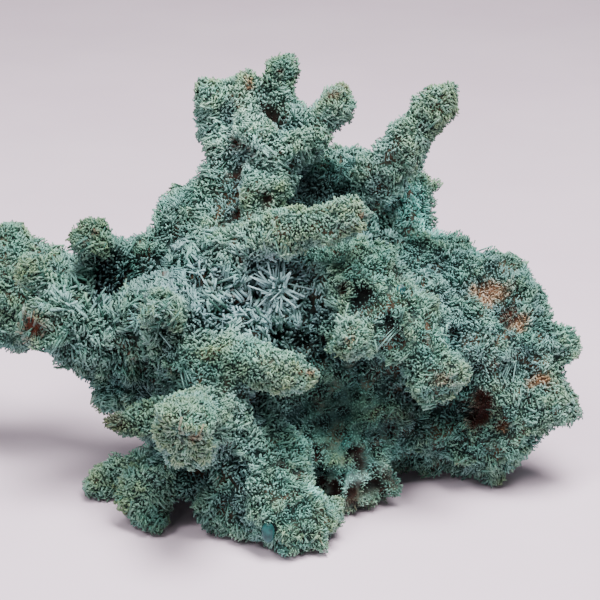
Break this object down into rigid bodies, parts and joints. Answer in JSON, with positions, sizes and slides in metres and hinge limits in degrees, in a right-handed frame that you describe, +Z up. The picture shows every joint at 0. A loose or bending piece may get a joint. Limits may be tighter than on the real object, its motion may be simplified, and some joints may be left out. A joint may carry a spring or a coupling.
{
  "type": "chrysocolla pseudomorph",
  "caption": "Blue-green mineral specimen of fused stubby fingers, coated all over in fine needles; stands on its own feet as a display piece.",
  "frame": {"origin": "centre of the bounding box's bottom face, on the plane of the feet", "axes": "+Z up, +X to the viewer's right, -Y towards the viewer of the front; X is the longest extent"},
  "size_m": [0.109, 0.0778, 0.0724],
  "materials": {
    "central_mass": "dry, dull mineral crust",
    "crown": "dry, dull mineral crust",
    "far_left_arm": "dry, dull mineral crust",
    "front_stub": "dry, dull mineral crust",
    "left_arm": "dry, dull mineral crust",
    "long_back_finger": "dry, dull mineral crust",
    "lower_front_finger": "dry, dull mineral crust",
    "right_lobe": "dry, dull mineral crust",
    "upper_front_finger": "dry, dull mineral crust"
  },
  "bodies": {
    "root": {"central_mass": "central_mass", "crown": "crown", "far_left_arm": "far_left_arm", "front_stub": "front_stub", "left_arm": "left_arm", "long_back_finger": "long_back_finger", "lower_front_finger": "lower_front_finger", "right_lobe": "right_lobe", "upper_front_finger": "upper_front_finger"}
  },
  "joints": []
}
